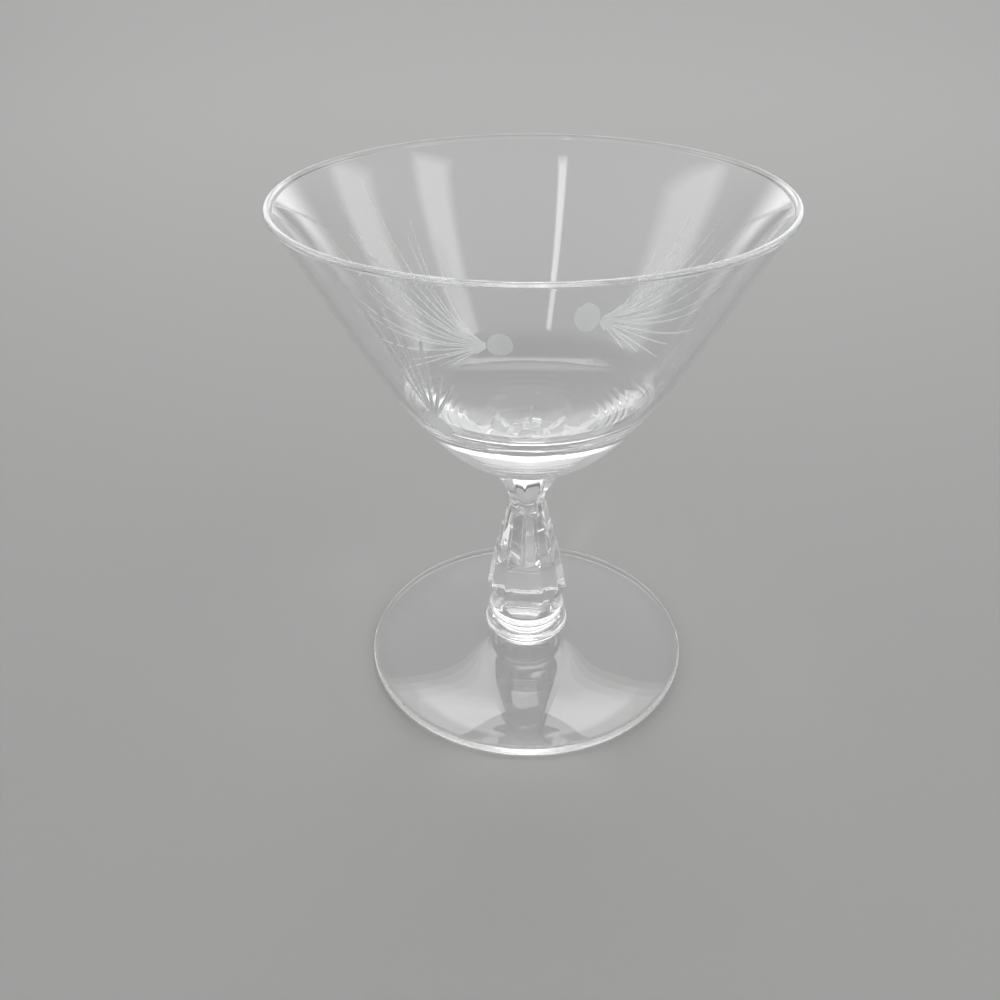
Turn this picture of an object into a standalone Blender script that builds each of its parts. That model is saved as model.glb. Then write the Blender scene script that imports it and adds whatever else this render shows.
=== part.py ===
"""Stemmed sherbet glass in clear crystal.

Four pieces of glass are stacked and fused hot: a round foot, a two-step collar, a
faceted pressed stem and a blown, open bowl. Nothing on the glass moves.
Sizes are in metres, +Z is up, and the origin is the middle of the foot on the table.
"""

import math

import bpy

NAME = "sherbet_glass"

# Fused seams, drawn as a thin clearance between neighbours
SEAM_GAP = 0.0003

# Foot: a disc with a round edge, a narrow flared hub and a shallow hollow underneath
FOOT_RADIUS = 0.03925
FOOT_EDGE = 0.0024
FOOT_HEIGHT = 0.0070
FOOT_DOME_RISE = 0.00125
FOOT_HUB_SPREAD = 0.0004
FOOT_HOLLOW_RADIUS = 0.0345
FOOT_HOLLOW_DEPTH = 0.0008

# Collar: a thin lip, a groove, a drum and a sloping shoulder, from the foot upwards
COLLAR_SEAT_RADIUS = 0.0060
COLLAR_UNDERCUT = 0.0005
COLLAR_LIP_RADIUS = 0.0103
COLLAR_LIP = 0.0016
COLLAR_GROOVE_DEPTH = 0.0006
COLLAR_DRUM_RADIUS = 0.0094
COLLAR_DRUM = 0.0029
COLLAR_SHOULDER = 0.0017
COLLAR_NECK_MARGIN = 0.0003

# Stem: a body with twelve faces, six flats that flare to the bowl and six that undercut the knee.
# Body sizes run from the axis to a ridge, the others from the axis to a flat.
STEM_HEIGHT = 0.0417
STEM_SIDES = 6
STEM_TURN = math.radians(-5.0)
STEM_SPARE = 0.0010
STEM_BASE_FLAT = 0.00676
STEM_UNDERCUT = math.radians(22.2)
STEM_WAIST_HEIGHT = 0.0302
BODY_KNEE_RIDGE = 0.00985
BODY_KNEE_HEIGHT = 0.0045
BODY_WAIST_RIDGE = 0.00425
BODY_OPENING = 1.55
FLARE_TOP_FLAT = 0.0087
FLARE_WAIST_FLAT = 0.00375
FLARE_END_FLAT = 0.0058
FLARE_END_HEIGHT = 0.0262

# Bowl: outer side and the hollow inside it
BOWL_HEIGHT = 0.0587
BOWL_RIM_RADIUS = 0.05075
BOWL_BASE_MARGIN = 0.00045
BOWL_LEAN = math.radians(35.07)
BOWL_RIM = 0.0015
BOWL_WALL = 0.00125
BOWL_FLOOR = 0.0127
BOWL_SOLID = 0.0197

# How far each curve's handles reach, as a share of the stretch that it spans
BOWL_SIDE_HANDLE = 0.188
BOWL_ROUND_HANDLE = 0.394
BOWL_ROUND_LIFT = 0.0828
HOLLOW_FLOOR_HANDLE = 0.642
HOLLOW_TURN_HANDLE = 0.068
BODY_WAIST_SPREAD = 0.4125
BODY_WAIST_DROP = 0.331
BODY_KNEE_PINCH = 0.2536
BODY_KNEE_RISE = 0.335
FLARE_TOP_PINCH = 0.485
FLARE_TOP_DROP = 0.296
FLARE_WAIST_SPREAD = 0.091
FLARE_WAIST_RISE = 0.217
FLARE_TURN_SPREAD = -0.073
FLARE_TURN_DROP = 0.325
FLARE_END_PINCH = 0.537
FLARE_END_RISE = 0.375
HUB_HANDLE = 0.783
DOME_HANDLE = 0.735

# Fineness of the turned surfaces
BOWL_STEPS = 64
BOWL_POINTS = 16
FOOT_STEPS = 64
COLLAR_STEPS = 40
CURVE_POINTS = 10
EDGE_POINTS = 6
MERGE_DISTANCE = 0.00001

# Clear crystal
GLASS_COLOUR = (0.93, 0.95, 0.95, 1.0)
GLASS_ROUGHNESS = 0.03
GLASS_IOR = 1.52

# Ridges between the flats, from the axis
HALF_SIDE = math.pi / STEM_SIDES
STEM_BASE_RIDGE = STEM_BASE_FLAT / math.cos(HALF_SIDE)
STEM_TOP_RIDGE = FLARE_TOP_FLAT / math.cos(HALF_SIDE)

# Heights of the seams above the table, worked out from the pieces
COLLAR_HEIGHT = COLLAR_UNDERCUT + COLLAR_LIP + COLLAR_DRUM + COLLAR_SHOULDER
COLLAR_BOTTOM = FOOT_HEIGHT + SEAM_GAP
STEM_BOTTOM = COLLAR_BOTTOM + COLLAR_HEIGHT + SEAM_GAP
BOWL_BOTTOM = STEM_BOTTOM + STEM_HEIGHT + SEAM_GAP


def clear_scene():
    for item in list(bpy.data.objects):
        bpy.data.objects.remove(item, do_unlink=True)


def glass(name):
    material = bpy.data.materials.new(name)
    material.use_nodes = True
    shader = material.node_tree.nodes["Principled BSDF"]
    shader.inputs["Base Color"].default_value = GLASS_COLOUR
    shader.inputs["Roughness"].default_value = GLASS_ROUGHNESS
    shader.inputs["Metallic"].default_value = 0.0
    shader.inputs["IOR"].default_value = GLASS_IOR
    shader.inputs["Transmission Weight"].default_value = 1.0
    return material


def curve(start, start_handle, end_handle, end, points=CURVE_POINTS):
    """Points (radius, height) along one cubic curve, both ends included."""
    corners = (start, start_handle, end_handle, end)
    result = []
    for index in range(points + 1):
        along = index / points
        left = 1.0 - along
        weights = (left ** 3, 3 * left ** 2 * along, 3 * left * along ** 2, along ** 3)
        radius = sum(weight * corner[0] for weight, corner in zip(weights, corners))
        height = sum(weight * corner[1] for weight, corner in zip(weights, corners))
        result.append((radius, height))
    return result


def between(start, end, across, along):
    """A handle that lies the given shares of the way from start to end."""
    radius = start[0] + across * (end[0] - start[0])
    height = start[1] + along * (end[1] - start[1])
    return (radius, height)


def round_edge(radius, height, size, start, end):
    """Points on an arc of the given size about (radius, height), angles in degrees."""
    result = []
    for index in range(EDGE_POINTS + 1):
        angle = math.radians(start + (end - start) * index / EDGE_POINTS)
        result.append((radius + size * math.cos(angle), height + size * math.sin(angle)))
    return result


def inset(points, distance):
    """The same line moved to its right-hand side, seen in the direction that it runs."""
    result = []
    for index, (radius, height) in enumerate(points):
        before = points[max(index - 1, 0)]
        after = points[min(index + 1, len(points) - 1)]
        across = after[0] - before[0]
        along = after[1] - before[1]
        share = distance / math.hypot(across, along)
        result.append((radius + share * along, height - share * across))
    return result


def turned(name, profile, steps, bottom, home, parent, start=0.0):
    """A solid of revolution whose profile runs from the axis down its outer side."""
    mesh = bpy.data.meshes.new(name)
    first = math.cos(start)
    second = math.sin(start)
    corners = [(radius * first, radius * second, height) for radius, height in profile]
    edges = [(index, index + 1) for index in range(len(corners) - 1)]
    mesh.from_pydata(corners, edges, [])
    mesh.materials.append(glass(name + "_glass"))
    solid = bpy.data.objects.new(name, mesh)
    solid.location.z = bottom
    solid.parent = parent
    home.objects.link(solid)
    screw = solid.modifiers.new("Turn", "SCREW")
    screw.axis = "Z"
    screw.steps = steps
    screw.render_steps = steps
    screw.use_merge_vertices = True
    screw.merge_threshold = MERGE_DISTANCE
    screw.use_smooth_shade = steps > 2 * STEM_SIDES
    return solid


def foot_profile():
    half_edge = FOOT_EDGE / 2
    edge_middle = FOOT_RADIUS - half_edge
    rise = FOOT_HEIGHT - FOOT_EDGE
    reach = edge_middle - COLLAR_SEAT_RADIUS
    top = curve(
        (COLLAR_SEAT_RADIUS, FOOT_HEIGHT),
        (COLLAR_SEAT_RADIUS + FOOT_HUB_SPREAD, FOOT_HEIGHT - HUB_HANDLE * rise),
        (edge_middle - DOME_HANDLE * reach, FOOT_EDGE + FOOT_DOME_RISE),
        (edge_middle, FOOT_EDGE),
    )
    edge = round_edge(edge_middle, half_edge, half_edge, 90, -90)
    hollow = curve(
        (FOOT_HOLLOW_RADIUS, 0.0),
        (FOOT_HOLLOW_RADIUS * 2 / 3, FOOT_HOLLOW_DEPTH * 2 / 3),
        (FOOT_HOLLOW_RADIUS / 3, FOOT_HOLLOW_DEPTH),
        (0.0, FOOT_HOLLOW_DEPTH),
        EDGE_POINTS,
    )
    return [(0.0, FOOT_HEIGHT)] + top + edge[1:] + hollow


def collar_profile():
    lip_round = COLLAR_LIP / 2
    lip_middle = COLLAR_UNDERCUT + lip_round
    lip_top = COLLAR_UNDERCUT + COLLAR_LIP
    drum_top = lip_top + COLLAR_DRUM
    shoulder = curve(
        (STEM_BASE_RIDGE + COLLAR_NECK_MARGIN, COLLAR_HEIGHT),
        (COLLAR_DRUM_RADIUS, COLLAR_HEIGHT),
        (COLLAR_DRUM_RADIUS, COLLAR_HEIGHT),
        (COLLAR_DRUM_RADIUS, drum_top),
        EDGE_POINTS,
    )
    groove = [
        (COLLAR_DRUM_RADIUS, lip_top + COLLAR_GROOVE_DEPTH),
        (COLLAR_DRUM_RADIUS - COLLAR_GROOVE_DEPTH, lip_top),
    ]
    lip = round_edge(COLLAR_LIP_RADIUS - lip_round, lip_middle, lip_round, 90, -90)
    seat = [(COLLAR_SEAT_RADIUS, 0.0), (0.0, 0.0)]
    return [(0.0, COLLAR_HEIGHT)] + shoulder + groove + lip + seat


def body_profile():
    """The twelve faces, open above the waist and longer than the stem at both ends."""
    top = STEM_HEIGHT + STEM_SPARE
    waist = (BODY_WAIST_RIDGE, STEM_WAIST_HEIGHT)
    knee = (BODY_KNEE_RIDGE, BODY_KNEE_HEIGHT)
    handle = between(knee, waist, BODY_KNEE_PINCH, BODY_KNEE_RISE)
    side = curve(waist, between(waist, knee, BODY_WAIST_SPREAD, BODY_WAIST_DROP), handle, knee)
    spread = (knee[0] - handle[0]) / (handle[1] - knee[1])
    end = (knee[0] + spread * (knee[1] + STEM_SPARE), -STEM_SPARE)
    above = [(0.0, top), (BODY_OPENING * FLARE_TOP_FLAT, top)]
    return above + side + [end, (0.0, -STEM_SPARE)]


def flare_profile():
    """The flats under the bowl, which open out again below the waist."""
    share = 1.0 / math.cos(HALF_SIDE)
    top = (FLARE_TOP_FLAT, STEM_HEIGHT)
    waist = (FLARE_WAIST_FLAT, STEM_WAIST_HEIGHT)
    end = (FLARE_END_FLAT, FLARE_END_HEIGHT)
    flare = curve(
        top,
        between(top, waist, FLARE_TOP_PINCH, FLARE_TOP_DROP),
        between(waist, top, FLARE_WAIST_SPREAD, FLARE_WAIST_RISE),
        waist,
    )
    handle = between(end, waist, FLARE_END_PINCH, FLARE_END_RISE)
    opening = curve(waist, between(waist, end, FLARE_TURN_SPREAD, FLARE_TURN_DROP), handle, end)
    spread = (end[0] - handle[0]) / (handle[1] - end[1])
    low = (end[0] + spread * (end[1] + 2 * STEM_SPARE), -2 * STEM_SPARE)
    flats = [(0.0, STEM_HEIGHT)] + flare + opening[1:] + [low, (0.0, -2 * STEM_SPARE)]
    return [(share * flat, height) for flat, height in flats]


def undercut_profile():
    """The flats below the knee, which lean out too far to touch anything higher up."""
    share = 1.0 / math.cos(HALF_SIDE)
    top = STEM_HEIGHT + 2 * STEM_SPARE
    wide = STEM_BASE_FLAT + top * math.tan(STEM_UNDERCUT)
    flats = [(0.0, top), (wide, top), (STEM_BASE_FLAT, 0.0), (0.0, 0.0)]
    return [(share * flat, height) for flat, height in flats]


def bowl_profile():
    """The hollow from its floor up to the rim, over the rim and down the outer side."""
    rim_round = BOWL_RIM / 2
    rim_height = BOWL_HEIGHT - rim_round
    base_radius = STEM_TOP_RIDGE + BOWL_BASE_MARGIN
    spread = BOWL_RIM_RADIUS - base_radius
    side_drop = BOWL_SIDE_HANDLE * rim_height
    outside = curve(
        (BOWL_RIM_RADIUS, rim_height),
        (BOWL_RIM_RADIUS - side_drop * math.tan(BOWL_LEAN), rim_height - side_drop),
        (base_radius + BOWL_ROUND_HANDLE * spread, BOWL_ROUND_LIFT * rim_height),
        (base_radius, 0.0),
        BOWL_POINTS,
    )
    line = inset(outside, BOWL_WALL)[::-1]
    wall = [point for point in line if BOWL_SOLID < point[1] < rim_height]
    below = [point for point in line if point[1] <= BOWL_SOLID][-1]
    share = (BOWL_SOLID - below[1]) / (wall[0][1] - below[1])
    wall.insert(0, between(below, wall[0], share, share))
    turn = wall[0]
    across = wall[1][0] - turn[0]
    along = wall[1][1] - turn[1]
    reach = HOLLOW_TURN_HANDLE * BOWL_HEIGHT / math.hypot(across, along)
    floor = curve(
        (0.0, BOWL_FLOOR),
        (HOLLOW_FLOOR_HANDLE * turn[0], BOWL_FLOOR),
        (turn[0] - reach * across, turn[1] - reach * along),
        turn,
    )
    rim = round_edge(BOWL_RIM_RADIUS - rim_round, rim_height, rim_round, 180, 0)
    return floor + wall[1:] + rim[:-1] + outside + [(0.0, 0.0)]


def keep_common(solid, cutter):
    """Keeps what a piece and a cutting shape have in common."""
    cutter.display_type = "WIRE"
    cutter.hide_render = True
    cut = solid.modifiers.new("Facets", "BOOLEAN")
    cut.operation = "INTERSECT"
    cut.solver = "EXACT"
    cut.object = cutter


def build():
    clear_scene()
    home = bpy.data.collections.new(NAME)
    shapes = bpy.data.collections.new("cutting_shapes")
    bpy.context.scene.collection.children.link(home)
    bpy.context.scene.collection.children.link(shapes)
    centre = bpy.data.objects.new(NAME, None)
    home.objects.link(centre)
    turned("foot", foot_profile(), FOOT_STEPS, 0.0, home, centre)
    turned("collar", collar_profile(), COLLAR_STEPS, COLLAR_BOTTOM, home, centre)
    stem = turned("stem", body_profile(), 2 * STEM_SIDES, STEM_BOTTOM, home, centre, STEM_TURN)
    flare_turn = STEM_TURN + HALF_SIDE
    flare = turned("stem_flare", flare_profile(), STEM_SIDES, STEM_BOTTOM, shapes, centre, flare_turn)
    keep_common(stem, flare)
    undercut = undercut_profile()
    under = turned("stem_undercut", undercut, STEM_SIDES, STEM_BOTTOM, shapes, centre, STEM_TURN)
    keep_common(stem, under)
    turned("bowl", bowl_profile(), BOWL_STEPS, BOWL_BOTTOM, home, centre)


build()
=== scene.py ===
"""Looks of the stemmed sherbet glass: clear crystal on a pale floor in soft studio light.

Each CAD piece is replaced by a smooth piece of the same form. The pieces meet face to face in the
middle of the CAD's seam gaps, as fused glass does. The bowl carries its wheel-cut ornament as real
grooves, and faint ripples low on its outside. Sizes are in metres, in the CAD's frame. An azimuth of
0 points to the camera's side (-Y), and positive azimuths run to the right.
"""

import math

import bmesh
import bpy
import numpy as np
from mathutils import Matrix, Vector
from mathutils.kdtree import KDTree


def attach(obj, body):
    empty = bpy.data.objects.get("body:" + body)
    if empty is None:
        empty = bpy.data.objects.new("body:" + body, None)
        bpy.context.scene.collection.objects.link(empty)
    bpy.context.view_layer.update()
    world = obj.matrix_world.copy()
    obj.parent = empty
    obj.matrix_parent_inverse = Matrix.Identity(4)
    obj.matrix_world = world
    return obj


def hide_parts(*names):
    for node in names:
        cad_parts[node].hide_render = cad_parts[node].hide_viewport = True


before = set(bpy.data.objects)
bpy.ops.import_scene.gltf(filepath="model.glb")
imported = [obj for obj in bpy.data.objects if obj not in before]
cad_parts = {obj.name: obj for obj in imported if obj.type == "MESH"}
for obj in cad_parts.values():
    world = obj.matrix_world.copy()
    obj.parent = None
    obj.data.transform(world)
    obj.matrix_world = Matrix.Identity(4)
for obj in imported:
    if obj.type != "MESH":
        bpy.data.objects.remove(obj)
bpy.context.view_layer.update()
scene = bpy.context.scene

# Heights where the fused pieces meet
FOOT_SEAM = 0.00715
COLLAR_SEAM = 0.01415
STEM_SEAM = 0.05615

# Foot
FOOT_RADIUS = 0.03925
FOOT_EDGE = 0.0024
FOOT_HUB = (0.0060, 0.0070)
FOOT_HUB_HANDLE = (0.0064, 0.0034)
FOOT_DOME_HANDLE = (0.0145, 0.00365)
FOOT_HOLLOW_RADIUS = 0.0345
FOOT_HOLLOW_DEPTH = 0.0008

# Collar
LIP_RADIUS = 0.0103
LIP_HALF = 0.0008
LIP_MIDDLE = 0.0086
DRUM_RADIUS = 0.0094
DRUM_BOTTOM = 0.0100
DRUM_TOP = 0.0123
NECK_RADIUS = 0.0080
SHOULDER_ROUND = 0.0006
SHOULDER_DROP = 0.0004
GROOVE_DEPTH = 0.0006
GROOVE_EDGE = 0.0004
GROOVE_HANDLE = 0.0003
HUB_MARGIN = 0.0010
HUB_DROP = 0.0001

# Stem: a body with twelve faces, six flats that flare to the bowl and six that undercut the knee.
# The body is given by its ridges, the others by the distance of their flats from the axis.
STEM_TURN = math.radians(-5.0)
STEM_FACES = 24
UNDERCUT_BASE = (0.00670, 0.01415)
UNDERCUT_SLOPE = 0.408
BODY_KNEE = (0.00985, 0.0188)
BODY_WAIST = (0.00425, 0.0445)
BODY_TOP = (0.0135, 0.0570)
BODY_HANDLES = ((0.00656, 0.0360), (0.00843, 0.0274))
FLARE_TOP = (0.0087, 0.0560)
FLARE_WAIST = (0.00375, 0.0445)
FLARE_HANDLES = ((0.0063, 0.0526), (0.0042, 0.0470))
FLARE_END = (0.0058, 0.0405)
FLARE_END_HANDLES = ((0.0036, 0.0432), (0.0047, 0.0420))
RIDGE_ROUND = 0.0009
STEM_ROW = 0.0004
STEM_FINE_ROW = 0.0001
KNEE_ROWS = (0.0176, 0.0230)
WAIST_ROWS = (0.0405, 0.0460)
STEM_NORMAL_STEP = 0.0004
# How far the guide lines are drawn on past their ends
FLARE_STEPS_BELOW = 400
FLARE_STEPS_ABOVE = 10
BODY_BELOW = 0.006

# Bowl
RIM_RADIUS = 0.05075
RIM_HALF = 0.00075
RIM_HEIGHT = 0.11425
OUTER_HANDLES = ((0.0431, 0.1034), (0.02635, 0.0611))
BOWL_BASE = (0.0105, 0.0563)
BOWL_WALL = 0.00125
SOLID_HEIGHT = 0.0760
FLOOR_HEIGHT = 0.0690
FLOOR_HANDLES = ((0.0180, 0.0690), (0.0259, 0.0726))
BOWL_SHOULDER = 0.0018
RIM_BLEND = 0.0003
# The outer side keeps every step where it is rippled, and one in so many above that
OUTER_STEPS = 384
OUTER_COARSE = 4
# Faint rings on the outside of the bottom
RIPPLE_SPAN = (0.0572, 0.0680)
RIPPLE_LENGTH = 0.0017
RIPPLE_HEIGHT = 0.00003

# Ornament: a ground dot with a spray of cut lines, laid out on the wall as if it were unrolled
WALL_LEAN = math.radians(31.0)
DOT_RADIUS = 0.0034
DOT_DEPTH = 0.00022
DOT_STRETCH = 1.12
DOT_OVERLAP = 1.06
DOT_LIFT = 0.00003
DOT_COVER = 0.0004
# A line's depth is a share of its half width, and the cutter stands a little proud of the wall
LINE_POINTS = 22
LINE_START_WIDTH = 0.5
LINE_WIDENING = 2.5
LINE_THINNING = 0.3
BOW_THINNING = 0.3
LINE_DEPTH = 0.8
LINE_COVER = 0.00004
LINE_END_LIFT = 0.00001
# Directions, angles in degrees: how the lines crowd in the fan, and how a line sets off from its dot
LINE_CROWDING = 1.15
LINE_UNEVEN = 1.5
BEND_RISE = 98.0
BEND_FALL = 68.0
BEND_FALL_POWER = 1.4
BEND_FIRST = 26.0
START_TURN = 6.0
START_FAN = 0.25
START_REACH = 1.02
# Lengths: lines of a curved spray are longest at this share of the way across the fan
LINE_PEAK = 0.47
LINE_LENGTH = 0.054
LINE_UPPER_LOSS = 0.024
LINE_LOWER_LOSS = 0.045
LINE_LOWER_POWER = 1.3
STRAIGHT_LENGTH = 0.053
STRAIGHT_LOSS = 0.027
STRAIGHT_LOSS_POWER = 1.6
SHORT_LINE = 0.84
LENGTH_UNEVEN = 0.05
SPRAYS = (
    # azimuth, height, side, turn, lines, reach, half width of a line, first direction, fan, bow
    (-164.0, 0.0714, 1.0, 0.0, 17, 1.0, 0.00032, 66.0, 98.0, 1.0),
    (153.2, 0.0787, -1.0, -10.0, 15, 0.86, 0.00032, 66.0, 98.0, 1.0),
    (-35.2, 0.0774, 1.0, 69.0, 6, 0.62, 0.00045, 27.0, 44.0, 0.0),
)

# Camera
CAMERA_PLACE = (0.0, -0.1803, 0.1626)
CAMERA_PITCH = math.radians(33.406)
CAMERA_YAW = math.radians(-2.062)
CAMERA_ROLL = math.radians(-0.466)
CAMERA_LENS = 33.08
SENSOR_WIDTH = 36.0

# Fineness
COLUMNS = 288
SHADE_STEPS = 6000
# A face whose normal is this upright counts as level
LEVEL = 0.9999
SHARP_ANGLE = math.radians(40.0)

# Glass
GLASS_IOR = 1.52
GLASS_COLOUR = (0.985, 0.99, 0.988, 1.0)

# Light: each softbox is several lamps of falling size that lie on each other
LAMP_DISTANCE = 1.2
LAMP_GAP = 0.001
LAMP_AIM = 0.08
LAMP_SIZES = (1.15, 1.0, 0.85, 0.7)
SOFTBOXES = (
    # name, azimuth, angle above the floor, width, height, radiance
    ("left_softbox", -100.0, 26.0, 0.60, 0.38, 1.4),
    ("right_softbox", 110.0, 24.0, 0.42, 0.42, 1.4),
    ("near_right_softbox", 62.0, 38.0, 0.34, 0.30, 1.8),
    ("back_softbox", 180.0, 52.0, 0.70, 0.26, 3.0),
    ("front_strip", -19.5, 42.0, 0.08, 0.25, 3.5),
)
# The glow's edges: axis of the direction, where it is dark and where it is bright
BACK_GLOW = 1.9
GLOW_EDGES = (("Y", 0.70, 0.92), ("Z", 0.02, 0.12), ("Z", 0.48, 0.34))
# Grey of the sky by its height, from the horizon to the zenith
SKY = ((0.0, 0.18), (0.5, 0.92), (1.0, 0.45))
LIGHT_BOUNCES = 64
SEAM_BOUNCES = 32

# Floor
FLOOR_REACH = 6.0
FLOOR_DROP = 0.00002
FLOOR_COLOUR = (0.38, 0.38, 0.376, 1.0)


def cubic(start, first, second, end, count):
    """Points (radius, height) on a cubic curve, both ends included."""
    along = np.linspace(0.0, 1.0, count + 1)[:, None]
    left = 1.0 - along
    corners = [np.array(corner) for corner in (start, first, second, end)]
    weights = (left ** 3, 3 * left ** 2 * along, 3 * left * along ** 2, along ** 3)
    return sum(weight * corner for weight, corner in zip(weights, corners))


def arc(radius, height, size, first, last, count):
    """Points on an arc about (radius, height), angles in degrees."""
    angles = np.radians(np.linspace(first, last, count + 1))
    return np.stack([radius + size * np.cos(angles), height + size * np.sin(angles)], axis=1)


def tip(height):
    """A row of one point on the axis."""
    return np.array([[0.0, 0.0, height]])


def ring(radius, height):
    """One row of points round the axis. The radius may differ from point to point."""
    angles = np.arange(COLUMNS) * 2.0 * math.pi / COLUMNS
    radii = np.broadcast_to(radius, angles.shape)
    heights = np.full(COLUMNS, height)
    return np.stack([radii * np.cos(angles), radii * np.sin(angles), heights], axis=1)


def skin(name, rows, slots):
    """A closed mesh over rows of points, from a point on the axis to another one.

    The rows run from the top of the piece down its outer side. slots gives a material number for
    each gap between rows.
    """
    points = []
    starts = []
    for row in rows:
        starts.append(len(points))
        points.extend([tuple(point) for point in row])
    faces = []
    numbers = []
    for index in range(len(rows) - 1):
        upper = len(rows[index])
        lower = len(rows[index + 1])
        columns = max(upper, lower)
        for column in range(columns):
            after = (column + 1) % columns
            top = [starts[index] + column % upper, starts[index] + after % upper]
            bottom = [starts[index + 1] + column % lower, starts[index + 1] + after % lower]
            face = [top[0], bottom[0], bottom[1], top[1]]
            faces.append(tuple(dict.fromkeys(face)))
            numbers.append(slots[index])
    mesh = bpy.data.meshes.new(name)
    mesh.from_pydata(points, [], faces)
    mesh.polygons.foreach_set("material_index", numbers)
    mesh.polygons.foreach_set("use_smooth", [True] * len(faces))
    mesh.update()
    return mesh


def piece(name, mesh, materials, node):
    """Shows a mesh in place of a CAD node."""
    if not mesh.materials:
        for material in materials:
            mesh.materials.append(material)
    shown = bpy.data.objects.new(name, mesh)
    scene.collection.objects.link(shown)
    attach(shown, "root")
    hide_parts(node)


# Stem sections


def slope_on(points, height):
    """Radius at a height on a profile whose points run upwards."""
    return np.interp(height, points[:, 1], points[:, 0])


def flare_line():
    upper = cubic(FLARE_TOP, *FLARE_HANDLES, FLARE_WAIST, count=60)[::-1]
    lower = cubic(FLARE_WAIST, *FLARE_END_HANDLES, FLARE_END, count=40)[::-1]
    below = lower[0] + (lower[0] - lower[1]) * FLARE_STEPS_BELOW
    above = upper[-1] + (upper[-1] - upper[-2]) * FLARE_STEPS_ABOVE
    return np.concatenate([[below], lower, upper[1:], [above]])


def body_line():
    side = cubic(BODY_WAIST, *BODY_HANDLES, BODY_KNEE, count=80)[::-1]
    steep = (side[1] - side[0]) / (side[1, 1] - side[0, 1])
    below = side[0] - steep * BODY_BELOW
    return np.concatenate([[below], side, [BODY_TOP]])


FLARE_LINE = flare_line()
BODY_LINE = body_line()
FACE_ANGLES = STEM_TURN - math.pi / 2 + np.arange(STEM_FACES) * 2.0 * math.pi / STEM_FACES
FACE_NORMALS = np.stack([np.cos(FACE_ANGLES), np.sin(FACE_ANGLES)], axis=1)
FACE_SIDEWAYS = np.stack([-np.sin(FACE_ANGLES), np.cos(FACE_ANGLES)], axis=1)


def section(height):
    """The stem's section at a height, with its corners rounded.

    Gives, for each direction in turn (undercut, body, flare, body), the distance that the section
    reaches and where its face begins and ends sideways. A face that is cut away has no width.
    """
    undercut = UNDERCUT_BASE[0] + UNDERCUT_SLOPE * (height - UNDERCUT_BASE[1])
    body = slope_on(BODY_LINE, height) * math.cos(math.pi / 12)
    flare = slope_on(FLARE_LINE, height)
    limits = np.tile([undercut, body, flare, body], STEM_FACES // 4) - RIDGE_ROUND
    first, second = np.triu_indices(STEM_FACES, 1)
    turned = np.sin(FACE_ANGLES[second] - FACE_ANGLES[first])
    crossing = np.abs(turned) > 1e-6
    first, second, turned = first[crossing], second[crossing], turned[crossing]
    across = limits[first] * FACE_NORMALS[second, 1] - limits[second] * FACE_NORMALS[first, 1]
    along = limits[second] * FACE_NORMALS[first, 0] - limits[first] * FACE_NORMALS[second, 0]
    corners = np.stack([across, along], axis=1) / turned[:, None]
    kept = np.all(corners @ FACE_NORMALS.T <= limits + 1e-9, axis=1)
    reach = corners[kept] @ FACE_NORMALS.T
    aside = corners[kept] @ FACE_SIDEWAYS.T
    distance = reach.max(axis=0)
    own = reach > distance - 2e-9
    begins = np.where(own, aside, 1.0).min(axis=0)
    ends = np.where(own, aside, -1.0).max(axis=0)
    return distance + RIDGE_ROUND, begins - 1e-6, ends + 1e-6


def stem_row(height):
    """Points of the section at a height: each direction gives two, at the ends of its face."""
    distance, begins, ends = section(height)
    starts = distance[:, None] * FACE_NORMALS + begins[:, None] * FACE_SIDEWAYS
    stops = distance[:, None] * FACE_NORMALS + ends[:, None] * FACE_SIDEWAYS
    flat = np.stack([starts, stops], axis=1).reshape(-1, 2)
    return np.concatenate([flat, np.full((len(flat), 1), height)], axis=1)


def stem_outline(height):
    """Radius of the stem's section at each of the turned pieces' columns."""
    row = stem_row(height)[:, :2]
    after = np.roll(row, -1, axis=0)
    angles = np.arange(COLUMNS) * 2.0 * math.pi / COLUMNS
    rays = np.stack([np.cos(angles), np.sin(angles)], axis=1)
    normals = np.stack([after[:, 1] - row[:, 1], row[:, 0] - after[:, 0]], axis=1)
    reach = np.sum(normals * row, axis=1)
    facing = rays @ normals.T
    return np.min(np.where(facing > 1e-12, reach / np.maximum(facing, 1e-12), 1.0), axis=1)


def stem_mesh():
    heights = np.unique(np.round(np.concatenate([
        np.arange(COLLAR_SEAM, STEM_SEAM, STEM_ROW),
        np.arange(*KNEE_ROWS, STEM_FINE_ROW),
        np.arange(*WAIST_ROWS, STEM_FINE_ROW),
        [COLLAR_SEAM, STEM_SEAM],
    ]), 7))[::-1]
    rows = [tip(STEM_SEAM)]
    rows += [stem_row(height) for height in heights]
    rows += [tip(COLLAR_SEAM)]
    slots = [1] + [0] * (len(heights) - 1) + [1]
    mesh = skin("stem", rows, slots)
    normals = [(0.0, 0.0, 1.0)]
    for height in heights:
        upper = min(height + STEM_NORMAL_STEP, STEM_SEAM)
        lower = max(height - STEM_NORMAL_STEP, COLLAR_SEAM)
        leans = (section(lower)[0] - section(upper)[0]) / (upper - lower)
        for (across, along), lean in zip(FACE_NORMALS, leans):
            normals += [tuple(Vector((across, along, lean)).normalized())] * 2
    normals.append((0.0, 0.0, -1.0))
    loops = []
    for polygon in mesh.polygons:
        for corner in polygon.vertices:
            loops.append(tuple(polygon.normal) if polygon.material_index else normals[corner])
    mesh.normals_split_custom_set(loops)
    return mesh


# Turned pieces


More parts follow.
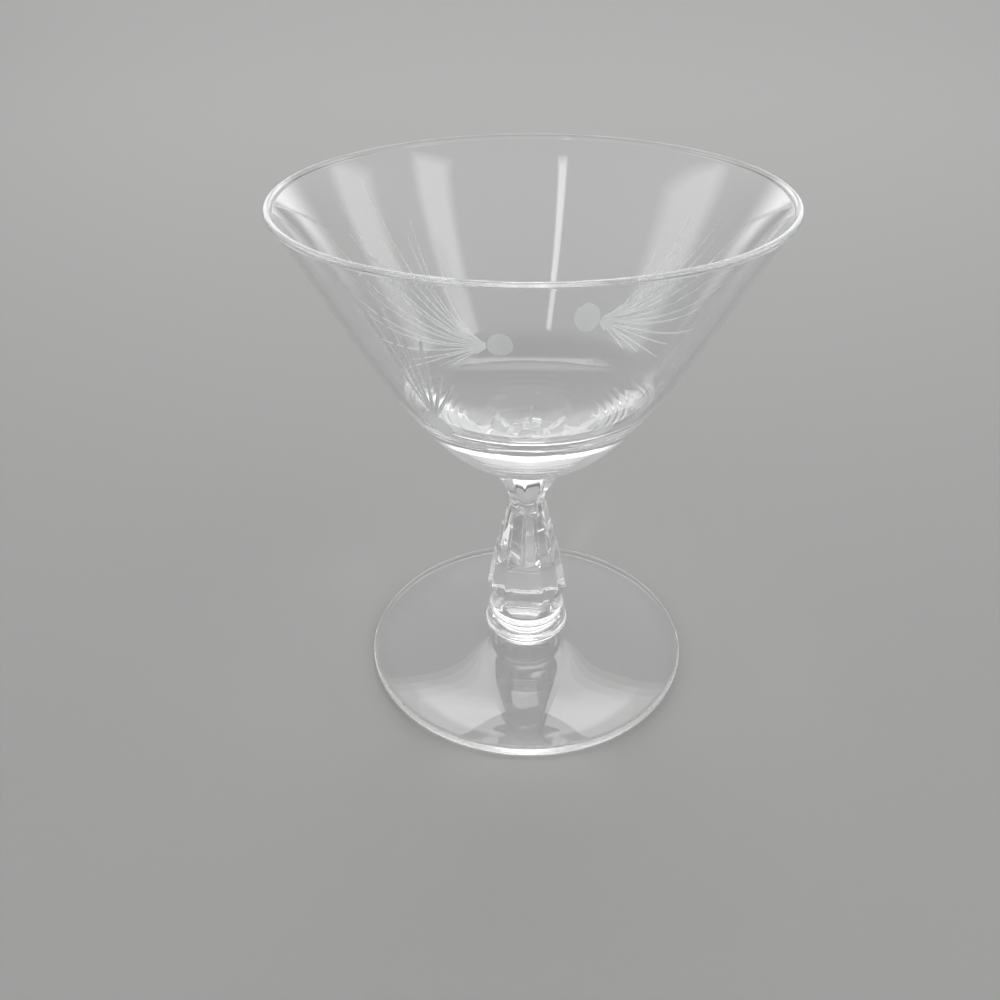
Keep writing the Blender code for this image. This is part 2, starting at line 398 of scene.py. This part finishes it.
def bowl_sides():
    """The hollow's line upwards, the rim and the outer side downwards, rippled low down."""
    outside = cubic((RIM_RADIUS, RIM_HEIGHT), *OUTER_HANDLES, BOWL_BASE, count=OUTER_STEPS)
    coarse = np.arange(len(outside)) % OUTER_COARSE == 0
    outside = outside[coarse | (outside[:, 1] < RIPPLE_SPAN[1])]
    outside = outside[outside[:, 0] > BOWL_BASE[0] + BOWL_SHOULDER]
    steps = np.gradient(outside, axis=0)
    inwards = np.stack([steps[:, 1], -steps[:, 0]], axis=1)
    inwards = inwards / np.linalg.norm(steps, axis=1)[:, None]
    wall = (outside + BOWL_WALL * inwards)[::-1]
    wall = wall[(wall[:, 1] > SOLID_HEIGHT) & (wall[:, 1] < RIM_HEIGHT - RIM_BLEND)]
    floor = cubic((0.0, FLOOR_HEIGHT), *FLOOR_HANDLES, wall[0], count=48)
    inside = np.concatenate([floor, wall[1:], [(RIM_RADIUS - 2 * RIM_HALF, RIM_HEIGHT)]])
    rim = arc(RIM_RADIUS - RIM_HALF, RIM_HEIGHT, RIM_HALF, 180, 0, count=14)
    first, last = RIPPLE_SPAN
    share = np.clip((outside[:, 1] - first) / (last - first), 0.0, 1.0)
    turns = (outside[:, 1] - first) / RIPPLE_LENGTH
    ripple = np.sin(math.pi * share) * np.sin(2 * math.pi * turns)
    return inside, rim, outside + RIPPLE_HEIGHT * ripple[:, None] * inwards


def bowl_mesh():
    inside, rim, outside = bowl_sides()
    profile = np.concatenate([inside[1:], rim[1:-1], outside])
    rows = [tip(FLOOR_HEIGHT)]
    rows += [ring(radius, height) for radius, height in profile]
    rows += [ring(stem_outline(STEM_SEAM), STEM_SEAM), tip(STEM_SEAM)]
    slots = [0] * (len(rows) - 2) + [1]
    return skin("bowl", rows, slots)


def collar_mesh():
    shoulder = cubic(
        (NECK_RADIUS, COLLAR_SEAM),
        (DRUM_RADIUS - SHOULDER_ROUND, COLLAR_SEAM),
        (DRUM_RADIUS, COLLAR_SEAM - SHOULDER_DROP),
        (DRUM_RADIUS, DRUM_TOP),
        count=16,
    )
    groove = cubic(
        (DRUM_RADIUS, DRUM_BOTTOM),
        (DRUM_RADIUS, DRUM_BOTTOM - GROOVE_HANDLE),
        (DRUM_RADIUS - GROOVE_DEPTH, LIP_MIDDLE + LIP_HALF + GROOVE_HANDLE),
        (DRUM_RADIUS - GROOVE_EDGE, LIP_MIDDLE + LIP_HALF),
        count=6,
    )
    lip = arc(LIP_RADIUS - LIP_HALF, LIP_MIDDLE, LIP_HALF, 90, -90, count=16)
    undercut = cubic(
        (LIP_RADIUS - LIP_HALF, LIP_MIDDLE - LIP_HALF),
        (FOOT_HUB[0] + HUB_MARGIN, LIP_MIDDLE - LIP_HALF),
        (FOOT_HUB[0], LIP_MIDDLE - LIP_HALF - HUB_DROP),
        (FOOT_HUB[0], FOOT_SEAM),
        count=8,
    )
    profile = np.concatenate([shoulder, groove, lip, undercut[1:]])
    rows = [tip(COLLAR_SEAM), ring(stem_outline(COLLAR_SEAM), COLLAR_SEAM)]
    rows += [ring(radius, height) for radius, height in profile]
    rows += [tip(FOOT_SEAM)]
    slots = [1] + [0] * (len(rows) - 3) + [1]
    return skin("collar", rows, slots)


def foot_mesh():
    half = FOOT_EDGE / 2
    middle = FOOT_RADIUS - half
    top = cubic(FOOT_HUB, FOOT_HUB_HANDLE, FOOT_DOME_HANDLE, (middle, FOOT_EDGE), count=48)
    edge = arc(middle, half, half, 90, -90, count=20)
    hollow = cubic(
        (FOOT_HOLLOW_RADIUS, 0.0),
        (FOOT_HOLLOW_RADIUS * 2 / 3, FOOT_HOLLOW_DEPTH * 2 / 3),
        (FOOT_HOLLOW_RADIUS / 3, FOOT_HOLLOW_DEPTH),
        (0.0, FOOT_HOLLOW_DEPTH),
        count=20,
    )
    profile = np.concatenate([[(FOOT_HUB[0], FOOT_SEAM)], top, edge[1:], hollow[:-1]])
    rows = [tip(FOOT_SEAM)]
    rows += [ring(radius, height) for radius, height in profile]
    rows += [tip(FOOT_HOLLOW_DEPTH)]
    slots = [1] + [0] * (len(rows) - 2)
    return skin("foot", rows, slots)


# Wheel-cut ornament

OUTER_LINE = cubic((RIM_RADIUS, RIM_HEIGHT), *OUTER_HANDLES, BOWL_BASE, count=600)[::-1]
OUTER_LEAN = np.gradient(OUTER_LINE[:, 0], OUTER_LINE[:, 1])


def wall_point(azimuth, radius):
    """Point and outward normal on the bowl's outer side, by azimuth and distance from the axis."""
    height = np.interp(radius, OUTER_LINE[:, 0], OUTER_LINE[:, 1])
    lean = np.interp(radius, OUTER_LINE[:, 0], OUTER_LEAN)
    outward = Vector((math.sin(azimuth), -math.cos(azimuth), 0.0))
    point = outward * radius + Vector((0.0, 0.0, height))
    normal = (outward - Vector((0.0, 0.0, lean))).normalized()
    return point, normal


def unrolled(spray, across, upwards):
    """Point and normal for a place on the unrolled wall, measured from a spray's dot."""
    azimuth, height, side = spray[:3]
    radius = np.interp(height, OUTER_LINE[:, 1], OUTER_LINE[:, 0])
    apex = radius / math.sin(WALL_LEAN) + upwards
    angle = math.atan2(across, apex) / math.sin(WALL_LEAN)
    distance = math.hypot(across, apex) * math.sin(WALL_LEAN)
    return wall_point(math.radians(azimuth) + side * angle, distance)


def add_line(points, faces, spray, start, bend, end, half, thinning):
    """A slender cutter of triangular section along a bent line, running out at its far end."""
    first = len(points)
    along = np.linspace(0.0, 1.0, LINE_POINTS)[:, None]
    left = 1.0 - along
    path = left ** 2 * np.array(start) + 2 * left * along * np.array(bend)
    path = path + along ** 2 * np.array(end)
    spots = [unrolled(spray, across, upwards) for across, upwards in path]
    for index in range(LINE_POINTS):
        share = index / (LINE_POINTS - 1)
        before = spots[max(index - 1, 0)][0]
        after = spots[min(index + 1, LINE_POINTS - 1)][0]
        point, normal = spots[index]
        forward = (after - before).normalized()
        sideways = normal.cross(forward).normalized()
        width = half * min(LINE_START_WIDTH + LINE_WIDENING * share, 1.0) * (1.0 - thinning * share)
        depth = LINE_DEPTH * width
        if index in (0, LINE_POINTS - 1):
            depth = -LINE_END_LIFT
        spread = width * (1.0 + LINE_COVER / max(depth, LINE_COVER))
        points.append(point + normal * LINE_COVER + sideways * spread)
        points.append(point - normal * depth)
        points.append(point + normal * LINE_COVER - sideways * spread)
    for index in range(LINE_POINTS - 1):
        row = first + 3 * index
        for corner in range(3):
            after = (corner + 1) % 3
            faces.append((row + corner, row + after, row + 3 + after, row + 3 + corner))
    faces.append((first + 2, first + 1, first))
    last = first + 3 * (LINE_POINTS - 1)
    faces.append((last, last + 1, last + 2))


def add_dot(points, faces, spray):
    """A lens-shaped cutter for the ground dot."""
    first = len(points)
    columns = 40
    rings = 5
    point, normal = unrolled(spray, 0.0, 0.0)
    points.append(point - normal * DOT_DEPTH)
    for step in range(1, rings + 1):
        share = step / rings
        depth = DOT_DEPTH * (1.0 - share ** 2) - DOT_LIFT * share
        for column in range(columns):
            angle = 2 * math.pi * column / columns
            reach = DOT_OVERLAP * DOT_RADIUS * share
            upwards = DOT_STRETCH * reach * math.sin(angle)
            point, normal = unrolled(spray, reach * math.cos(angle), upwards)
            points.append(point - normal * depth)
    point, normal = unrolled(spray, 0.0, 0.0)
    points.append(point + normal * DOT_COVER)
    top = len(points) - 1
    for column in range(columns):
        after = (column + 1) % columns
        faces.append((first, first + 1 + column, first + 1 + after))
        for step in range(rings - 1):
            row = first + 1 + step * columns
            faces.append((row + column, row + columns + column, row + columns + after, row + after))
        edge = first + 1 + (rings - 1) * columns
        faces.append((edge + column, top, edge + after))


def wobble(number):
    """A small steady unevenness of the hand, from -1 to 1."""
    return math.sin(12.9898 * number) * math.cos(4.1414 * number)


def line_length(share, bow):
    """Length of a line by its place in the fan. Without bow, the lines shorten steadily."""
    if bow == 0.0:
        return STRAIGHT_LENGTH - STRAIGHT_LOSS * share ** STRAIGHT_LOSS_POWER
    if share < LINE_PEAK:
        return LINE_LENGTH - LINE_UPPER_LOSS * ((LINE_PEAK - share) / LINE_PEAK) ** 2
    past = (share - LINE_PEAK) / (1.0 - LINE_PEAK)
    return LINE_LENGTH - LINE_LOWER_LOSS * past ** LINE_LOWER_POWER


def cutters():
    """The cutters of all sprays in one mesh: slot 3 grinds the dots and slot 2 the lines."""
    points = []
    faces = []
    slots = []
    for number, spray in enumerate(SPRAYS):
        turn, lines, reach, half, opening, fan, bow = spray[3:]
        add_dot(points, faces, spray)
        slots += [3] * (len(faces) - len(slots))
        for line in range(lines):
            share = line / (lines - 1)
            uneven = wobble(line + 20 * number)
            crowded = share ** LINE_CROWDING
            arrive = math.radians(opening - fan * crowded + turn + LINE_UNEVEN * uneven)
            bent = BEND_RISE * crowded - BEND_FALL * share ** BEND_FALL_POWER - BEND_FIRST
            leave = arrive + bow * math.radians(bent)
            length = line_length(share, bow)
            length *= reach * (SHORT_LINE if line % 2 == 0 else 1.0)
            length *= 1.0 + LENGTH_UNEVEN * uneven
            first = START_FAN * leave + (1.0 - START_FAN) * math.radians(START_TURN + turn)
            rim = START_REACH * DOT_RADIUS
            start = (rim * math.cos(first), rim * math.sin(first))
            run = length - DOT_RADIUS
            bend = (start[0] + run / 2 * math.cos(leave), start[1] + run / 2 * math.sin(leave))
            end = (start[0] + run * math.cos(arrive), start[1] + run * math.sin(arrive))
            thinning = LINE_THINNING + BOW_THINNING * bow
            add_line(points, faces, spray, start, bend, end, half, thinning)
        slots += [2] * (len(faces) - len(slots))
    mesh = bpy.data.meshes.new("cuts")
    mesh.from_pydata([tuple(point) for point in points], [], faces)
    mesh.polygons.foreach_set("material_index", slots)
    cuts = bmesh.new()
    cuts.from_mesh(mesh)
    bmesh.ops.recalc_face_normals(cuts, faces=cuts.faces)
    cuts.to_mesh(mesh)
    cuts.free()
    return mesh


def cut_bowl(mesh, materials):
    """The bowl with its ornament cut in, shaded as the smooth wall that it was before."""
    shapes = []
    for name, data in (("whole", mesh), ("cuts", cutters())):
        for material in materials:
            data.materials.append(material)
        shape = bpy.data.objects.new(name, data)
        scene.collection.objects.link(shape)
        shapes.append(shape)
    cut = shapes[0].modifiers.new("Cut", "BOOLEAN")
    cut.operation = "DIFFERENCE"
    cut.solver = "EXACT"
    cut.use_self = True
    cut.object = shapes[1]
    bpy.context.view_layer.update()
    whole = shapes[0].evaluated_get(bpy.context.evaluated_depsgraph_get())
    result = bpy.data.meshes.new_from_object(whole)
    result.name = "bowl"
    for shape in shapes:
        data = shape.data
        bpy.data.objects.remove(shape)
        bpy.data.meshes.remove(data)
    shade_bowl(result)
    return result


def shade_bowl(mesh):
    """Gives the polished faces the normals of the bowl's profile. Cut and level faces stay flat."""
    inside, rim, outside = bowl_sides()
    line = np.concatenate([inside, rim[1:-1], outside])
    fine = np.linspace(0, len(line) - 1, SHADE_STEPS)
    numbers = np.arange(len(line))
    places = np.stack([np.interp(fine, numbers, line[:, axis]) for axis in (0, 1)], axis=1)
    steps = np.gradient(places, axis=0)
    normals = np.stack([-steps[:, 1], steps[:, 0]], axis=1)
    normals /= np.linalg.norm(normals, axis=1)[:, None]
    tree = KDTree(len(places))
    for index, (radius, height) in enumerate(places):
        tree.insert((radius, height, 0.0), index)
    tree.balance()
    loops = []
    for polygon in mesh.polygons:
        flat = polygon.material_index != 0 or abs(polygon.normal.z) > LEVEL
        for corner in polygon.vertices:
            point = mesh.vertices[corner].co
            radius = math.hypot(point.x, point.y)
            if flat or radius < 1e-6:
                loops.append(tuple(polygon.normal))
                continue
            found = tree.find((radius, point.z, 0.0))[1]
            across, upwards = normals[found]
            loops.append((across * point.x / radius, across * point.y / radius, upwards))
    mesh.polygons.foreach_set("use_smooth", [True] * len(mesh.polygons))
    mesh.normals_split_custom_set(loops)


# Materials


def link(material, source, output, target, socket):
    material.node_tree.links.new(source.outputs[output], target.inputs[socket])


def crystal(name, colour, wave_scale, wave_height):
    """Clear glass whose surface is very slightly wavy, with faint traces of handling."""
    material = bpy.data.materials.new(name)
    material.use_nodes = True
    nodes = material.node_tree.nodes
    shader = nodes["Principled BSDF"]
    shader.inputs["Base Color"].default_value = colour
    shader.inputs["IOR"].default_value = GLASS_IOR
    shader.inputs["Transmission Weight"].default_value = 1.0
    place = nodes.new("ShaderNodeTexCoord")
    wave = nodes.new("ShaderNodeTexNoise")
    wave.inputs["Scale"].default_value = wave_scale
    wave.inputs["Detail"].default_value = 1.0
    bump = nodes.new("ShaderNodeBump")
    bump.inputs["Strength"].default_value = 1.0
    bump.inputs["Distance"].default_value = wave_height
    haze = nodes.new("ShaderNodeTexNoise")
    haze.inputs["Scale"].default_value = 70.0
    haze.inputs["Detail"].default_value = 4.0
    spread = nodes.new("ShaderNodeMapRange")
    spread.inputs["From Min"].default_value = 0.45
    spread.inputs["From Max"].default_value = 0.8
    spread.inputs["To Min"].default_value = 0.0
    spread.inputs["To Max"].default_value = 0.02
    link(material, place, "Object", wave, "Vector")
    link(material, place, "Object", haze, "Vector")
    link(material, wave, "Fac", bump, "Height")
    link(material, bump, "Normal", shader, "Normal")
    link(material, haze, "Fac", spread, "Value")
    link(material, spread, "Result", shader, "Roughness")
    return material


def fused(name):
    """The inner face of a fused seam, where glass meets glass and nothing shows."""
    material = bpy.data.materials.new(name)
    material.use_nodes = True
    shader = material.node_tree.nodes["Principled BSDF"]
    shader.inputs["Base Color"].default_value = (1.0, 1.0, 1.0, 1.0)
    shader.inputs["Roughness"].default_value = 0.0
    shader.inputs["IOR"].default_value = GLASS_IOR
    shader.inputs["Transmission Weight"].default_value = 1.0
    shader.inputs["Alpha"].default_value = 0.0
    return material


def ground(name, colour, transmission):
    """Glass left matt by the cutting wheel."""
    material = bpy.data.materials.new(name)
    material.use_nodes = True
    nodes = material.node_tree.nodes
    shader = nodes["Principled BSDF"]
    shader.inputs["Base Color"].default_value = colour
    shader.inputs["IOR"].default_value = GLASS_IOR
    shader.inputs["Transmission Weight"].default_value = transmission
    place = nodes.new("ShaderNodeTexCoord")
    grain = nodes.new("ShaderNodeTexNoise")
    grain.inputs["Scale"].default_value = 3500.0
    grain.inputs["Detail"].default_value = 2.0
    bump = nodes.new("ShaderNodeBump")
    bump.inputs["Strength"].default_value = 0.5
    bump.inputs["Distance"].default_value = 0.00004
    spread = nodes.new("ShaderNodeMapRange")
    spread.inputs["To Min"].default_value = 0.5
    spread.inputs["To Max"].default_value = 0.8
    link(material, place, "Object", grain, "Vector")
    link(material, grain, "Fac", bump, "Height")
    link(material, bump, "Normal", shader, "Normal")
    link(material, grain, "Fac", spread, "Value")
    link(material, spread, "Result", shader, "Roughness")
    return material


# Stage


def add_floor():
    mesh = bpy.data.meshes.new("floor")
    far = FLOOR_REACH
    corners = [(-far, -far, 0), (far, -far, 0), (far, far, 0), (-far, far, 0)]
    mesh.from_pydata(corners, [], [(0, 1, 2, 3)])
    material = bpy.data.materials.new("floor")
    material.use_nodes = True
    shader = material.node_tree.nodes["Principled BSDF"]
    shader.inputs["Base Color"].default_value = FLOOR_COLOUR
    shader.inputs["Roughness"].default_value = 0.6
    mesh.materials.append(material)
    floor = bpy.data.objects.new("floor", mesh)
    floor.location.z = -FLOOR_DROP
    scene.collection.objects.link(floor)


def add_softbox(name, azimuth, rise, width, height, radiance):
    """A lamp aimed at the glass, placed by azimuth and by its angle above the floor.

    Lamps of falling size lie on each other, so that its light fades towards its edges.
    """
    turn = math.radians(azimuth)
    level = math.cos(math.radians(rise))
    upwards = math.sin(math.radians(rise))
    away = Vector((math.sin(turn) * level, -math.cos(turn) * level, upwards))
    for number, size in enumerate(LAMP_SIZES):
        lamp = bpy.data.lights.new(name, "AREA")
        lamp.shape = "RECTANGLE"
        lamp.size = size * width
        lamp.size_y = size * height
        lamp.energy = radiance / len(LAMP_SIZES) * math.pi * lamp.size * lamp.size_y
        shown = bpy.data.objects.new(name, lamp)
        distance = LAMP_DISTANCE + LAMP_GAP * number
        shown.location = distance * away + Vector((0.0, 0.0, LAMP_AIM))
        shown.rotation_euler = (-away).to_track_quat("-Z", "Y").to_euler()
        shown.visible_camera = False
        scene.collection.objects.link(shown)


def add_world():
    """Soft light from above, with a glow low down behind the glass that the camera doesn't see."""
    world = bpy.data.worlds.new("studio")
    scene.world = world
    world.use_nodes = True
    nodes = world.node_tree.nodes
    links = world.node_tree.links
    back = nodes["Background"]
    place = nodes.new("ShaderNodeTexCoord")
    split = nodes.new("ShaderNodeSeparateXYZ")
    tone = nodes.new("ShaderNodeValToRGB")
    tone.color_ramp.elements.new(SKY[-1][0])
    for element, (level, value) in zip(tone.color_ramp.elements, SKY):
        element.position = level
        element.color = (value, value, value, 1.0)
    links.new(place.outputs["Generated"], split.inputs["Vector"])
    links.new(split.outputs["Z"], tone.inputs["Fac"])
    seen = nodes.new("ShaderNodeLightPath")
    glow = nodes.new("ShaderNodeMath")
    glow.operation = "SUBTRACT"
    glow.inputs[0].default_value = 1.0
    links.new(seen.outputs["Is Camera Ray"], glow.inputs[1])
    for axis, dark, bright in GLOW_EDGES:
        edge = nodes.new("ShaderNodeMapRange")
        edge.interpolation_type = "SMOOTHSTEP"
        edge.inputs["From Min"].default_value = dark
        edge.inputs["From Max"].default_value = bright
        links.new(split.outputs[axis], edge.inputs["Value"])
        part = nodes.new("ShaderNodeMath")
        part.operation = "MULTIPLY"
        links.new(glow.outputs["Value"], part.inputs[0])
        links.new(edge.outputs["Result"], part.inputs[1])
        glow = part
    total = nodes.new("ShaderNodeVectorMath")
    total.operation = "MULTIPLY_ADD"
    total.inputs[1].default_value = (BACK_GLOW, BACK_GLOW, BACK_GLOW)
    links.new(glow.outputs["Value"], total.inputs[0])
    links.new(tone.outputs["Color"], total.inputs[2])
    links.new(total.outputs["Vector"], back.inputs["Color"])


def add_camera():
    lens = bpy.data.cameras.new("camera")
    lens.sensor_width = SENSOR_WIDTH
    lens.sensor_fit = "HORIZONTAL"
    lens.lens = CAMERA_LENS
    lens.clip_start = 0.01
    camera = bpy.data.objects.new("camera", lens)
    level = math.cos(CAMERA_PITCH)
    ahead = (math.sin(CAMERA_YAW) * level, math.cos(CAMERA_YAW) * level, -math.sin(CAMERA_PITCH))
    forward = Vector(ahead)
    right = Vector((math.cos(CAMERA_YAW), -math.sin(CAMERA_YAW), 0.0))
    upwards = right.cross(forward)
    across = math.cos(CAMERA_ROLL) * right + math.sin(CAMERA_ROLL) * upwards
    above = -math.sin(CAMERA_ROLL) * right + math.cos(CAMERA_ROLL) * upwards
    place = Matrix((across, above, -forward)).transposed().to_4x4()
    place.translation = CAMERA_PLACE
    camera.matrix_world = place
    scene.collection.objects.link(camera)
    scene.camera = camera


add_camera()
blown = crystal("blown_glass", GLASS_COLOUR, 60.0, 0.00002)
pressed = crystal("pressed_glass", GLASS_COLOUR, 140.0, 0.00001)
seam = fused("fused_seam")
cut_line = ground("ground_line", (0.97, 0.98, 0.98, 1.0), 0.12)
cut_dot = ground("ground_dot", (0.93, 0.94, 0.94, 1.0), 0.5)

foot = foot_mesh()
foot.set_sharp_from_angle(angle=SHARP_ANGLE)
piece("glass_foot", foot, (pressed, seam), "foot")
collar = collar_mesh()
collar.set_sharp_from_angle(angle=SHARP_ANGLE)
piece("glass_collar", collar, (pressed, seam), "collar")
piece("glass_stem", stem_mesh(), (pressed, seam), "stem")
bowl_materials = (blown, seam, cut_line, cut_dot)
piece("glass_bowl", cut_bowl(bowl_mesh(), bowl_materials), bowl_materials, "bowl")

add_floor()
add_world()
for softbox in SOFTBOXES:
    add_softbox(*softbox)
scene.view_settings.view_transform = "Standard"
scene.cycles.blur_glossy = 0.0
scene.cycles.max_bounces = LIGHT_BOUNCES
scene.cycles.glossy_bounces = LIGHT_BOUNCES
scene.cycles.transmission_bounces = LIGHT_BOUNCES
scene.cycles.transparent_max_bounces = SEAM_BOUNCES
